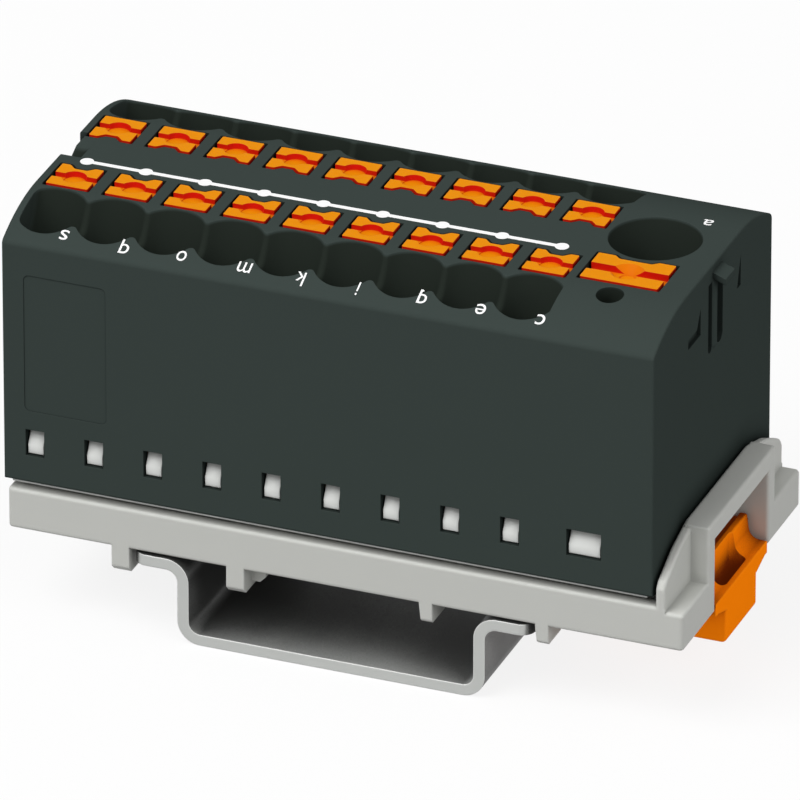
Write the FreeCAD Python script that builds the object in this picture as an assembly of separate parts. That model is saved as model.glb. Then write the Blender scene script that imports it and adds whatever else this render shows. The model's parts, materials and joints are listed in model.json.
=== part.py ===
import FreeCAD
import Part
import math
import os

# Power distribution block on a piece of mounting rail, in millimetres.
# +X runs along the block towards the infeed, +Y into its depth, +Z up.
# The origin lies on the underside of the rail, below its centre line, at mid-depth of the block.

# Contacts and their places along the block
CONTACTS = 9                  # outgoing contacts in each of the two rows
PITCH = 5.2
END_TO_FIRST = 2.78           # left end of the housing to the first contact
LAST_TO_INFEED = 6.42
INFEED_TO_END = 5.96

# Mounting rail
RAIL_WIDTH = 35.0
RAIL_HEIGHT = 7.5
RAIL_SHEET = 1.0
RAIL_CHANNEL = 27.0           # outside of the channel, below the flanges
RAIL_BEND_R = 1.0             # inner radius of every bend
RAIL_CORNER_R = 1.25          # corners of the flanges, seen from above

# Housing
HOUSING_DEPTH = 27.4
HOUSING_HEIGHT = 23.9
SHOULDER = 7.5                # from each face to the level top
SHOULDER_R = 15.0             # shoulders, tangent to the level top
TOP_CORNER_R = 0.6
END_EDGE_R = 0.2
FOOT_CHAMFER = 0.2
WALL = 0.9                    # front and rear wall
END_WALL = 0.78
PARTITION = 1.2               # between neighbouring clamp chambers
ROOF = 8.9                    # from the top down to the chambers' ceiling
CHAMBER_DEPTH = 11.1
BASE_ROOM = 2.7               # room under the partitions for carrier and busbar

# Wire entries, placed from the front face; the rear row mirrors the front row
WIRE_FROM_FACE = 3.85
WIRE_BORE_R = 1.5
FUNNEL_MOUTH_R = 2.83
FUNNEL_MOUTH_BELOW_TOP = 0.8
FUNNEL_DEPTH = 3.9
FUNNEL_OUTER_CLIP = 2.13      # straight side of the leftmost funnels, from their centre
FUNNEL_INNER_CLIP = 2.45      # and of the rightmost ones
FUNNEL_INNER_CORNER_R = 0.4   # where the straight side meets the funnel
FUNNEL_OUTER_CORNER_R = 1.2
FUNNEL_CUSP_R = 0.4           # where two funnels meet
INFEED_WIRE_FROM_FACE = 16.1
INFEED_BORE_R = 2.5
INFEED_MOUTH_R = 3.89
INFEED_FUNNEL_DEPTH = 4.2
TEST_HOLE_FROM_FACE = 5.7
TEST_HOLE_R = 1.15

# Release buttons
BUTTON_FROM_FACE = 9.05
BUTTON_WIDTH = 3.65
BUTTON_DEPTH = 3.7
BUTTON_PROUD = 0.06           # top above the housing
BUTTON_TRAVEL = 1.8
BUTTON_GAP = 0.25             # between a button and its slot
BUTTON_CORNER_R = 0.12
GROOVE_WIDTH = 0.8
GROOVE_DEPTH = 0.42
GROOVE_SHIFT = 0.12           # from the button's centre towards the wire
DIMPLE_R = 1.05
DIMPLE_FLOOR_R = 0.95
DIMPLE_DEPTH = 0.47
WAIST_TOP = 1.1               # half width of the waist at the button's edge
WAIST_BOTTOM = 0.55
WAIST_DEPTH = 0.55
LUG_REACH = 0.5               # stop lugs beyond the slot, at the button's foot
LUG_HEIGHT = 1.5
STOP_GAP = 0.05               # lugs below the chamber's ceiling at rest
FOOT_WIDTH = 2.4
FOOT_DEPTH = 1.3
FOOT_SHIFT = 0.95             # foot's centre, from the button's centre towards the wire

INFEED_BUTTON_FROM_FACE = 9.82
INFEED_BUTTON_WIDTH = 6.7
INFEED_BUTTON_DEPTH = 4.44
INFEED_GROOVE_WIDTH = 1.15
INFEED_GROOVE_DEPTH = 0.6
INFEED_DIMPLE_R = 1.4
INFEED_DIMPLE_FLOOR_R = 0.6
INFEED_DIMPLE_DEPTH = 0.72
INFEED_WAIST_TOP = 1.9
INFEED_WAIST_BOTTOM = 1.4
INFEED_WAIST_DEPTH = 0.45
INFEED_FOOT_WIDTH = 4.8
INFEED_FOOT_SHIFT = 1.4

# Infeed chamber
INFEED_CHAMBER_WIDTH = 7.0
INFEED_CHAMBER_FROM_FACE = 4.2
INFEED_CHAMBER_DEPTH = 16.4

# Snap windows in the front and rear wall
WINDOW_WIDTH = 1.65
WINDOW_BOTTOM = 2.52
WINDOW_TOP = 4.93
INFEED_WINDOW_WIDTH = 3.0
HOOK_POCKET_HEIGHT = 5.6
HOOK_GAP = 0.15               # free space on each side of a hook in its window

# Contact carrier
CARRIER_RIM = 0.3             # grey line under the housing
CARRIER_INSET = 0.45
CARRIER_END_INSET = 0.6
CARRIER_PLATE = 1.4           # plate above the rim, inside the housing
CARRIER_CLEARANCE = 0.06
HOOK_ARM = 0.55
HOOK_SET_BACK = 0.2           # ridge of the hook behind the housing's face
HOOK_RIDGE = 3.45
HOOK_FLAT_BOTTOM = 2.65
PEG_R = 1.2
PEG_CLEARANCE = 0.05
PEG_FROM_FACE = 4.7
PEG_CONTACTS = (1, 4, 7)      # contacts that the pegs stand under, counted from 0

# Busbar and springs
BUSBAR_SHEET = 0.7
BUSBAR_BEND_R = 0.4
BUSBAR_TAB_HEIGHT = 10.0
FINGER_WIDTH = 2.8
BUSBAR_CORE_INSET = 6.2       # from each face to the strip that joins the fingers
SEAT_GAP = 0.05               # between parts that lie on each other
LOCATING_PIN_R = 0.8
SPRING_SHEET = 0.3
SPRING_LOOP_R = 1.25
SPRING_TIP_HEIGHT = 6.6
INFEED_SPRING_SHEET = 0.5
INFEED_SPRING_LOOP_R = 1.6
INFEED_SPRING_TIP_HEIGHT = 5.2
INFEED_SPRING_SET_BACK = 2.9  # fixed leg behind the chamber's front
INFEED_FINGER_WIDTH = 5.4

# Adapter foot
BLOCK_GAP = 0.48              # between the adapter's lip and the carrier's rim
ADAPTER_HEIGHT = 3.67         # skirt, from its lower edge to its lip
SKIRT_CLEARANCE = 0.25        # between the skirt and the rail's flanges
ADAPTER_LEFT_INSET = 0.3      # behind the housing's left end
WING_GAP = 0.27               # between the housing's right end and the wing
WING_WALL = 0.83
PORTAL_REACH = 1.58           # portal beyond the wing
ADAPTER_WALL = 1.2
ADAPTER_CORNER_R = 0.42
DECK = 0.9
DECK_BELOW_LIP = 0.52
LEDGE_BELOW_LIP = 0.37
WING_TOP = 4.68               # wing above the lip
WING_SHOULDER = 6.7           # from each face to the wing's level top
WING_FRONT_RISE = 1.68
WING_BEND = (0.42, 2.3)       # from the front face, above the lip
WING_SLOPE = (3.44, 3.78)
WING_CURVE_R = (0.6, 4.0, 3.0)  # at the bend, at the slope and at the level top
ADAPTER_EDGE_R = 0.25         # rounded upper and end edges
PORTAL_WIDTH = 15.5
PORTAL_LEG = 1.5
PORTAL_BEAM = 1.7
RIB = 1.0
RIB_CLEARANCE = 0.05          # ribs above the rail's flanges

# Teeth of the adapter
TOOTH_WIDTH = 1.55
TOOTH_DEPTH = 2.9
TOOTH_DROP = 2.29             # below the skirt
TOOTH_CHAMFER = 0.5
RIGHT_TOOTH_DROP = 1.68
RIGHT_TOOTH_WIDTH = 1.15
RIGHT_TOOTH_TAPER = 0.17      # right teeth narrow towards their lower end
TOOTH_TO_FLANGE = 0.23
RIGHT_TOOTH_TO_FLANGE = 0.36
INNER_TOOTH_TO_WALL = 4.34    # left inner tooth to the channel's wall
RIGHT_INNER_TOOTH_TO_WALL = 4.61
KEEL_WIDTH = 2.8
KEEL_DROP = 1.75
CLAW_REACH = 1.5              # fixed claw under the rail's left flange
CLAW_INSET = 5.0
CLAW_CLEARANCE = 0.08
CLAW_HEIGHT = 0.95

# Foot latch
LATCH_LIP_WIDTH = 12.0
LATCH_PLATE_WIDTH = 7.0
LATCH_LIP_BELOW_SKIRT = 0.6
LATCH_LIP_THICK = 1.05
LATCH_DROP = 4.35             # lower plate below the skirt
LATCH_HOLD = 1.4              # nose under the rail's right flange
LATCH_NOSE_CLEARANCE = 0.08
LATCH_TRAVEL = 3.0            # past the hold, so that the foot lifts off
LATCH_TOP = 2.65              # upright above the skirt
LATCH_UPRIGHT = 0.7
LATCH_CLEARANCE = 0.12
LATCH_FLANGE_GAP = 0.4        # between the sled's end and the right flange's edge
LATCH_CORNER_R = 0.5
LATCH_EDGE_R = 0.2
JAW_R = 1.0                   # hollow between the upright and the lip
JAW_SET_OUT = 0.28            # lip's end of the hollow, beyond the upright
LIP_RAMP = (1.9, 0.6)         # thickening of the lip's underside beside the plate
GUIDE_FLANGE = 0.45
POCKET_WIDTH = 5.4
POCKET_LENGTH = 1.5
POCKET_DEPTH = 3.4
POCKET_CORNER_R = 0.6
LATCH_SPRING_SHEET = 0.25
LATCH_SPRING_BEND_R = 0.15
LATCH_SPRING_TURNS = 5
LATCH_SPRING_FREE = 0.06      # between the folds when the latch is pulled
SPRING_WINDOW = 2.6
SPRING_PEG = 1.0
PEG_TO_END = 1.64             # spring's peg to the right end of the housing above it

# Coupling relief on the housing's ends; heights on the right end are measured down from the top
NOTCH_WIDTH = 4.4
NOTCH_FRONT_Y = -1.2
NOTCH_LENGTH = 0.7
NOTCH_DEPTH = 2.4
PIT_LENGTH = 1.2
PIT_WIDTH = 1.9
PIT_DEPTH = 0.9
RIDGE_R = 0.8
RIDGE_Y = 0.2
RIDGE_PROUD = 0.2
RIDGE_BOTTOM = 8.05
RIDGE_TOP = 1.2
RELIEF_DEPTH = 0.35
WEDGE_Y = -2.97               # upright side of the left wedge groove
WEDGE_REACH = 2.85
WEDGE_BOTTOM = 5.1
WEDGE_HEIGHT = 2.45
WEDGE_WIDTH = 0.85
FAR_WEDGE_Y = (5.45, 6.3)     # lower end of the right wedge groove
FAR_WEDGE_BOTTOM = 4.95
FAR_WEDGE_HEIGHT = 2.8
COUPLING_SLOT_Y = (0.75, 2.15)    # deep slot behind the ridge
COUPLING_SLOT_DEPTH = 0.6
COUPLING_GROOVE_Y = (-1.2, -0.35)    # shallow groove before the ridge
COUPLING_SLOT_LOW = 7.8
COUPLING_SLOT_TOP = 1.5
COUPLING_HEAD_Y = (-0.33, 1.8)
COUPLING_HEAD_TOP = 0.66
COUPLING_HEAD_SLANT = 0.44    # outer end below the inner one
COUPLING_HEAD_SHEET = 0.54
COUPLING_HEAD_PROUD = 1.15
PANEL_LEFT = 1.9
PANEL_RIGHT = 9.13
PANEL_BOTTOM = 6.65           # above the housing's underside
PANEL_TOP = 4.8               # below the housing's top
PANEL_DEPTH = 0.05
PANEL_CORNER_R = 0.5

# Working values of the modelling itself
OVER = 1.0                    # how far a cut runs on past a surface
IN_PLANE = 0.001              # how near an edge lies to a plane that it belongs to

# Levels and places that follow from the sizes above
SKIRT_Z = RAIL_HEIGHT + SKIRT_CLEARANCE
LIP_Z = SKIRT_Z + ADAPTER_HEIGHT
CARRIER_Z = LIP_Z + BLOCK_GAP
HOUSING_Z = CARRIER_Z + CARRIER_RIM
HOUSING_TOP = HOUSING_Z + HOUSING_HEIGHT
CEILING_Z = HOUSING_TOP - ROOF
BUSBAR_Z = HOUSING_Z + CARRIER_PLATE + SEAT_GAP
FRONT = -HOUSING_DEPTH / 2
WIRE_Y = FRONT + WIRE_FROM_FACE
BUTTON_Y = FRONT + BUTTON_FROM_FACE
INFEED_WIRE_Y = FRONT + INFEED_WIRE_FROM_FACE
INFEED_BUTTON_Y = FRONT + INFEED_BUTTON_FROM_FACE
INFEED_CHAMBER_Y = FRONT + INFEED_CHAMBER_FROM_FACE
TEST_HOLE_Y = FRONT + TEST_HOLE_FROM_FACE
PEG_Y = FRONT + PEG_FROM_FACE
BUSBAR_CORE_Y = FRONT + BUSBAR_CORE_INSET
FLANGE_EDGE = RAIL_WIDTH / 2
SLED_LEFT = FLANGE_EDGE + LATCH_FLANGE_GAP
SPRING_FOLDS = 2 * LATCH_SPRING_TURNS + 1
LATCH_SPRING_LENGTH = LATCH_TRAVEL + SPRING_FOLDS * (LATCH_SPRING_SHEET + LATCH_SPRING_FREE)
SPRING_START = SLED_LEFT + SPRING_PEG
SPRING_END = SPRING_START + LATCH_SPRING_LENGTH
RIGHT_END = SPRING_END + SEAT_GAP + SPRING_PEG + PEG_TO_END
INFEED_X = RIGHT_END - INFEED_TO_END
LAST_X = INFEED_X - LAST_TO_INFEED
FIRST_X = LAST_X - (CONTACTS - 1) * PITCH
LEFT_END = FIRST_X - END_TO_FIRST
CHAMBER_WIDTH = PITCH - PARTITION
CONTACT_XS = [FIRST_X + i * PITCH for i in range(CONTACTS)]
ADAPTER_LEFT = LEFT_END + ADAPTER_LEFT_INSET
WING_X = RIGHT_END + WING_GAP
LEDGE_X = WING_X + WING_WALL
ADAPTER_RIGHT = LEDGE_X + PORTAL_REACH
DECK_TOP = LIP_Z - DECK_BELOW_LIP
DECK_Z = DECK_TOP - DECK
OPENING_HALF = PORTAL_WIDTH / 2 - PORTAL_LEG
OPENING_X = WING_X - LATCH_UPRIGHT
LUG_TOP = CEILING_Z - STOP_GAP
LUG_BOTTOM = LUG_TOP - LUG_HEIGHT
PRESSED_LUG = LUG_BOTTOM - BUTTON_TRAVEL - SEAT_GAP


def vector(x, y, z):
    return FreeCAD.Vector(x, y, z)


def box(x0, x1, y0, y1, z0, z1):
    return Part.makeBox(x1 - x0, y1 - y0, z1 - z0, vector(x0, y0, z0))


def post(x, y, radius, z0, z1):
    return Part.makeCylinder(radius, z1 - z0, vector(x, y, z0))


def fuse(shapes):
    return shapes[0].fuse(shapes[1:]).removeSplitter() if len(shapes) > 1 else shapes[0]


def rounded(shape, radius, wanted):
    """The shape with every edge rounded that the test picks out."""
    return shape.makeFillet(radius, [edge for edge in shape.Edges if wanted(edge)])


def lies_at(edge, axis, level):
    """True for an edge that lies wholly in the plane at a level of the X, Y or Z axis."""
    span = edge.BoundBox
    return max(abs(getattr(span, axis + "Min") - level), abs(getattr(span, axis + "Max") - level)) < IN_PLANE


def rises(edge):
    """True for an edge that doesn't lie level."""
    return edge.BoundBox.ZLength > IN_PLANE


def mirrored(shape):
    """The same shape on the other side of mid-depth."""
    return shape.mirror(vector(0, 0, 0), vector(0, 1, 0))


def both(shape):
    return [shape, mirrored(shape)]


def place(plane, u, w, along=0.0):
    if plane == "yz":
        return vector(along, u, w)
    if plane == "xz":
        return vector(u, along, w)
    return vector(u, w, along)


def outline(points, plane, along=0.0):
    """A closed wire through points (u, w) or (u, w, radius), with the corners of given radius rounded."""
    corners = [(p[0], p[1], p[2] if len(p) > 2 else 0.0) for p in points]
    starts, ends, arcs = [], [], []
    for i, (u, w, radius) in enumerate(corners):
        before = corners[i - 1]
        after = corners[(i + 1) % len(corners)]
        into = (before[0] - u, before[1] - w)
        out = (after[0] - u, after[1] - w)
        into_len, out_len = math.hypot(*into), math.hypot(*out)
        into = (into[0] / into_len, into[1] / into_len)
        out = (out[0] / out_len, out[1] / out_len)
        if radius <= 0:
            starts.append((u, w))
            ends.append((u, w))
            arcs.append(None)
            continue
        half = math.acos(max(-1.0, min(1.0, into[0] * out[0] + into[1] * out[1]))) / 2
        back = radius / math.tan(half)
        middle = (into[0] + out[0], into[1] + out[1])
        scale = (radius / math.sin(half) - radius) / math.hypot(*middle)
        starts.append((u + into[0] * back, w + into[1] * back))
        ends.append((u + out[0] * back, w + out[1] * back))
        arcs.append((u + middle[0] * scale, w + middle[1] * scale))
    edges = []
    for i in range(len(corners)):
        if arcs[i]:
            edges.append(Part.Arc(place(plane, *starts[i], along), place(plane, *arcs[i], along),
                                  place(plane, *ends[i], along)).toShape())
        a, b = ends[i], starts[(i + 1) % len(corners)]
        if math.hypot(a[0] - b[0], a[1] - b[1]) > 1e-6:
            edges.append(Part.makeLine(place(plane, *a, along), place(plane, *b, along)))
    return Part.Wire(Part.__sortEdges__(edges))


def prism(points, plane, start, stop):
    """The outline of the points, drawn in a plane and pushed along the third axis."""
    push = {"yz": vector(stop - start, 0, 0), "xz": vector(0, stop - start, 0),
            "xy": vector(0, 0, stop - start)}[plane]
    return Part.Face(outline(points, plane, start)).extrude(push)


def ribbon(path, radius, thickness, plane, start, stop):
    """Sheet of one thickness, folded along a centre line with one inner bend radius."""
    turns = []
    for i in range(1, len(path) - 1):
        a = (path[i][0] - path[i - 1][0], path[i][1] - path[i - 1][1])
        b = (path[i + 1][0] - path[i][0], path[i + 1][1] - path[i][1])
        turns.append(math.atan2(a[0] * b[1] - a[1] * b[0], a[0] * b[0] + a[1] * b[1]))
    normals = []
    for i in range(len(path) - 1):
        du, dw = path[i + 1][0] - path[i][0], path[i + 1][1] - path[i][1]
        length = math.hypot(du, dw)
        normals.append((-dw / length, du / length))
    sides = []
    for side in (thickness / 2, -thickness / 2):
        line = [(path[0][0] + normals[0][0] * side, path[0][1] + normals[0][1] * side)]
        for i, turn in enumerate(turns):
            n0, n1 = normals[i], normals[i + 1]
            grow = side / (1 + n0[0] * n1[0] + n0[1] * n1[1])
            inner = side * turn > 0
            line.append((path[i + 1][0] + (n0[0] + n1[0]) * grow, path[i + 1][1] + (n0[1] + n1[1]) * grow,
                         radius if inner else radius + thickness))
        line.append((path[-1][0] + normals[-1][0] * side, path[-1][1] + normals[-1][1] * side))
        sides.append(line)
    return prism(sides[0] + sides[1][::-1], plane, start, stop)


# Mounting rail

def mounting_rail():
    half = RAIL_CHANNEL / 2 - RAIL_SHEET / 2
    low, high = RAIL_SHEET / 2, RAIL_HEIGHT - RAIL_SHEET / 2
    path = [(-FLANGE_EDGE, high), (-half, high), (-half, low), (half, low), (half, high),
            (FLANGE_EDGE, high)]
    rail = ribbon(path, RAIL_BEND_R, RAIL_SHEET, "xz", FRONT, -FRONT)
    corners = [(x, y, RAIL_CORNER_R) for x, y in (
        (-FLANGE_EDGE, FRONT), (FLANGE_EDGE, FRONT), (FLANGE_EDGE, -FRONT), (-FLANGE_EDGE, -FRONT))]
    return rail.common(prism(corners, "xy", 0.0, RAIL_HEIGHT))


# Release buttons

def button_outline(width, depth, waist, grow=0.0):
    """Button seen from above, for the front row: its waist faces mid-depth, on the +Y side."""
    top, bottom, waist_depth = waist
    slope = math.atan2(waist_depth, top - bottom)
    shift = grow * math.tan(slope / 2)
    x, y = width / 2 + grow, depth / 2 + grow
    soft = (top - bottom) / 2
    return [(-x, -y, BUTTON_CORNER_R), (x, -y, BUTTON_CORNER_R), (x, y, BUTTON_CORNER_R),
            (top - shift, y, soft), (bottom - shift, y - waist_depth, soft),
            (-bottom + shift, y - waist_depth, soft), (-top + shift, y, soft), (-x, y, BUTTON_CORNER_R)]


def moved(points, dx, dy):
    return [(p[0] + dx, p[1] + dy) + tuple(p[2:]) for p in points]


SMALL_WAIST = (WAIST_TOP, WAIST_BOTTOM, WAIST_DEPTH)
LARGE_WAIST = (INFEED_WAIST_TOP, INFEED_WAIST_BOTTOM, INFEED_WAIST_DEPTH)


def button(x, y, width, depth, waist, groove, dimple, foot, leg_height):
    """A release button: waisted head, stop lugs under the ceiling and a foot on the spring's leg.

    The foot stands beside the loop, on the wire's side, which is -Y in the front row and +Y at the infeed.
    """
    top = HOUSING_TOP + BUTTON_PROUD
    body = prism(moved(button_outline(width, depth, waist), x, y), "xy", LUG_BOTTOM, top)
    lug_y = depth / 2 + LUG_REACH
    lugs = box(x - width / 2, x + width / 2, y - lug_y, y + lug_y, LUG_BOTTOM, LUG_TOP)
    foot_width, foot_shift = foot
    foot_y = y + foot_shift
    loop_side = foot_y - math.copysign(FOOT_DEPTH / 2, foot_shift)
    foot_post = box(x - foot_width / 2, x + foot_width / 2, foot_y - FOOT_DEPTH / 2, foot_y + FOOT_DEPTH / 2,
                    leg_height(loop_side) + SEAT_GAP, LUG_BOTTOM)
    groove_width, groove_depth = groove
    dimple_r, dimple_floor_r, dimple_depth = dimple
    groove_y = y - GROOVE_SHIFT
    cuts = [box(x - width, x + width, groove_y - groove_width / 2, groove_y + groove_width / 2,
                top - groove_depth, top + OVER),
            funnel(x, groove_y, dimple_floor_r, dimple_r, top, dimple_depth)]
    return fuse([body, lugs, foot_post]).cut(cuts)


def button_slot(x, y, width, depth, waist):
    return prism(moved(button_outline(width, depth, waist, BUTTON_GAP), x, y), "xy", CEILING_Z - OVER,
                 HOUSING_TOP + OVER)


# Clamp springs

def spring_leg(back_y, loop_r, loop_z, tip):
    """Loop's centre, and where the clamping leg leaves the loop on its way down to the tip."""
    centre = (back_y - loop_r, loop_z)
    du, dw = tip[0] - centre[0], tip[1] - centre[1]
    reach = math.hypot(du, dw)
    angle = math.atan2(dw, du) - math.acos(loop_r / reach)
    start = (centre[0] + loop_r * math.cos(angle), centre[1] + loop_r * math.sin(angle))
    return centre, angle, start


def clamp_spring(x, width, back_y, loop_r, loop_z, tip, thickness):
    """Leaf spring: a leg against the chamber's inner wall, a loop, and a leg that ends at the tab."""
    centre, angle, _ = spring_leg(back_y, loop_r, loop_z, tip)
    angle = angle % (2 * math.pi)
    half = thickness / 2
    sides = []
    for side in (half, -half):
        radius = loop_r + side

        def on_loop(turn):
            return vector(0, centre[0] + radius * math.cos(turn), centre[1] + radius * math.sin(turn))

        sides.append({"foot": vector(0, centre[0] + radius, BUSBAR_Z + BUSBAR_SHEET + SEAT_GAP),
                      "rise": on_loop(0), "crown": on_loop(angle / 2), "leave": on_loop(angle),
                      "tip": vector(0, tip[0] + side * math.cos(angle), tip[1] + side * math.sin(angle))})
    outer, inner = sides
    edges = []
    for side in sides:
        edges += [Part.makeLine(side["foot"], side["rise"]),
                  Part.Arc(side["rise"], side["crown"], side["leave"]).toShape(),
                  Part.makeLine(side["leave"], side["tip"])]
    edges += [Part.makeLine(outer["tip"], inner["tip"]), Part.makeLine(outer["foot"], inner["foot"])]
    face = Part.Face(Part.Wire(Part.__sortEdges__(edges)))
    solid = face.extrude(vector(width, 0, 0))
    solid.translate(vector(x - width / 2, 0, 0))
    return solid


TAB_Y = FRONT + WALL + HOOK_ARM + HOOK_GAP + BUSBAR_SHEET / 2
SPRING_BACK_Y = FRONT + WALL + CHAMBER_DEPTH - SEAT_GAP - SPRING_SHEET / 2
SPRING_TIP = (TAB_Y + BUSBAR_SHEET / 2 + SEAT_GAP + SPRING_SHEET, HOUSING_Z + SPRING_TIP_HEIGHT)
INFEED_TAB_Y = INFEED_WIRE_Y + INFEED_BORE_R + SEAT_GAP + BUSBAR_SHEET / 2
INFEED_SPRING_BACK_Y = INFEED_CHAMBER_Y + INFEED_SPRING_SET_BACK
INFEED_SPRING_TIP = (INFEED_TAB_Y - BUSBAR_SHEET / 2 - SEAT_GAP - INFEED_SPRING_SHEET,
                     HOUSING_Z + INFEED_SPRING_TIP_HEIGHT)
SPRING_LOOP_Z = PRESSED_LUG - SPRING_LOOP_R - SPRING_SHEET / 2
INFEED_SPRING_LOOP_Z = PRESSED_LUG - INFEED_SPRING_LOOP_R - INFEED_SPRING_SHEET / 2


def small_spring(x):
    return clamp_spring(x, FINGER_WIDTH, SPRING_BACK_Y, SPRING_LOOP_R, SPRING_LOOP_Z, SPRING_TIP,
                        SPRING_SHEET)


def leg_top(start, tip, y, sheet):
    """Height of the clamping leg's upper face at y."""
    slope = (start[1] - tip[1]) / (start[0] - tip[0])
    return start[1] + slope * (y - start[0]) + sheet / 2 * math.hypot(1, slope)


def small_leg_height(y):
    start = spring_leg(SPRING_BACK_Y, SPRING_LOOP_R, SPRING_LOOP_Z, SPRING_TIP)[2]
    return leg_top(start, SPRING_TIP, y, SPRING_SHEET)


def infeed_spring():
    """The large spring leans the other way: its fixed leg stands in front and its tip looks to the rear."""
    tip = (-INFEED_SPRING_TIP[0], INFEED_SPRING_TIP[1])
    spring = clamp_spring(INFEED_X, INFEED_FINGER_WIDTH, -INFEED_SPRING_BACK_Y, INFEED_SPRING_LOOP_R,
                          INFEED_SPRING_LOOP_Z, tip, INFEED_SPRING_SHEET)
    return mirrored(spring)


def infeed_leg_height(y):
    tip = (-INFEED_SPRING_TIP[0], INFEED_SPRING_TIP[1])
    start = spring_leg(-INFEED_SPRING_BACK_Y, INFEED_SPRING_LOOP_R, INFEED_SPRING_LOOP_Z, tip)[2]
    return leg_top(start, tip, -y, INFEED_SPRING_SHEET)


# Housing

def housing_block():
    """The moulded block: level top, round shoulders, softened ends."""
    half, flat = HOUSING_DEPTH / 2, HOUSING_DEPTH / 2 - SHOULDER
    turn = math.asin((half - flat) / SHOULDER_R)
    shoulder_z = HOUSING_TOP - SHOULDER_R * (1 - math.cos(turn))
    mid_y = flat + SHOULDER_R * math.sin(turn / 2)
    mid_z = HOUSING_TOP - SHOULDER_R * (1 - math.cos(turn / 2))

    def at(y, z):
        return vector(LEFT_END, y, z)

    edges = [Part.Arc(at(-half, shoulder_z), at(-mid_y, mid_z), at(-flat, HOUSING_TOP)).toShape(),
             Part.makeLine(at(-flat, HOUSING_TOP), at(flat, HOUSING_TOP)),
             Part.Arc(at(flat, HOUSING_TOP), at(mid_y, mid_z), at(half, shoulder_z)).toShape()]
    foot = [(half, shoulder_z), (half, HOUSING_Z + FOOT_CHAMFER), (half - FOOT_CHAMFER, HOUSING_Z),
            (-half + FOOT_CHAMFER, HOUSING_Z), (-half, HOUSING_Z + FOOT_CHAMFER), (-half, shoulder_z)]
    edges += [Part.makeLine(at(*foot[i]), at(*foot[i + 1])) for i in range(len(foot) - 1)]
    block = Part.Face(Part.Wire(edges)).extrude(vector(RIGHT_END - LEFT_END, 0, 0))
    long_edges = [e for e in block.Edges if len(e.Vertexes) == 2
                  and all(abs(v.Z - shoulder_z) < 1e-3 for v in e.Vertexes)
                  and abs(e.Vertexes[0].Y - e.Vertexes[1].Y) < 1e-3]
    block = block.makeFillet(TOP_CORNER_R, long_edges)
    ends = (LEFT_END, RIGHT_END)
    outlines = [e for e in block.Edges if e.CenterOfMass.z > HOUSING_Z + 2 * FOOT_CHAMFER
                and any(abs(e.BoundBox.XMin - x) < 1e-3 and abs(e.BoundBox.XMax - x) < 1e-3 for x in ends)]
    return block.makeFillet(END_EDGE_R, outlines)


def funnel(x, y, bore_r, mouth_r, mouth_z, depth):
    """Cone from the mouth down to the bore, carried on above the surface at the same slope."""
    slope = (mouth_r - bore_r) / depth
    over = HOUSING_TOP + OVER - mouth_z
    return Part.makeCone(bore_r, mouth_r + slope * over, depth + over, vector(x, y, mouth_z - depth))


def wire_entries():
    """Funnels of one row. The two outermost end in straight sides; every bore runs into its chamber."""
    mouth_z = HOUSING_TOP - FUNNEL_MOUTH_BELOW_TOP
    left, right = FIRST_X - FUNNEL_OUTER_CLIP, LAST_X + FUNNEL_INNER_CLIP
    cones = fuse([funnel(x, WIRE_Y, WIRE_BORE_R, FUNNEL_MOUTH_R, mouth_z, FUNNEL_DEPTH) for x in CONTACT_XS])
    row = cones.common(box(left, right, FRONT - OVER, 0, CEILING_Z, HOUSING_TOP + OVER))
    for side, radius in ((left, FUNNEL_OUTER_CORNER_R), (right, FUNNEL_INNER_CORNER_R)):
        row = rounded(row, radius, lambda edge: rises(edge) and lies_at(edge, "X", side))
    row = rounded(row, FUNNEL_CUSP_R, lambda edge: rises(edge) and any(
        lies_at(edge, "X", x + PITCH / 2) for x in CONTACT_XS[:-1]))
    bores = [post(x, WIRE_Y, WIRE_BORE_R, CEILING_Z - OVER, mouth_z - FUNNEL_DEPTH) for x in CONTACT_XS]
    return [row] + bores


def infeed_cuts():
    slot = button_slot(INFEED_X, INFEED_BUTTON_Y, INFEED_BUTTON_WIDTH, INFEED_BUTTON_DEPTH, LARGE_WAIST)
    mouth_z = HOUSING_TOP - INFEED_FUNNEL_DEPTH
    half = INFEED_CHAMBER_WIDTH / 2
    entry = funnel(INFEED_X, INFEED_WIRE_Y, INFEED_BORE_R, INFEED_MOUTH_R, HOUSING_TOP, INFEED_FUNNEL_DEPTH)
    return [slot, entry, post(INFEED_X, INFEED_WIRE_Y, INFEED_BORE_R, CEILING_Z - OVER, mouth_z),
            post(INFEED_X, TEST_HOLE_Y, TEST_HOLE_R, CEILING_Z - OVER, HOUSING_TOP + OVER),
            box(INFEED_X - half, INFEED_X + half, INFEED_CHAMBER_Y, INFEED_CHAMBER_Y + INFEED_CHAMBER_DEPTH,
                HOUSING_Z - OVER, CEILING_Z)]


def row_cuts():
    """Everything that one row of contacts takes out of the block."""
    cuts = wire_entries()
    half = CHAMBER_WIDTH / 2
    for x in CONTACT_XS:
        cuts.append(button_slot(x, BUTTON_Y, BUTTON_WIDTH, BUTTON_DEPTH, SMALL_WAIST))
        cuts.append(box(x - half, x + half, FRONT + WALL, FRONT + WALL + CHAMBER_DEPTH, HOUSING_Z - OVER,
                        CEILING_Z))
        cuts.append(window(x, WINDOW_WIDTH))
    cuts.append(window(INFEED_X, INFEED_WINDOW_WIDTH))
    pocket = INFEED_WINDOW_WIDTH / 2 + HOOK_GAP
    cuts.append(box(INFEED_X - pocket, INFEED_X + pocket, FRONT + WALL,
                    FRONT + WALL + HOOK_ARM + 2 * HOOK_GAP, HOUSING_Z, HOUSING_Z + HOOK_POCKET_HEIGHT))
    return cuts


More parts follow.
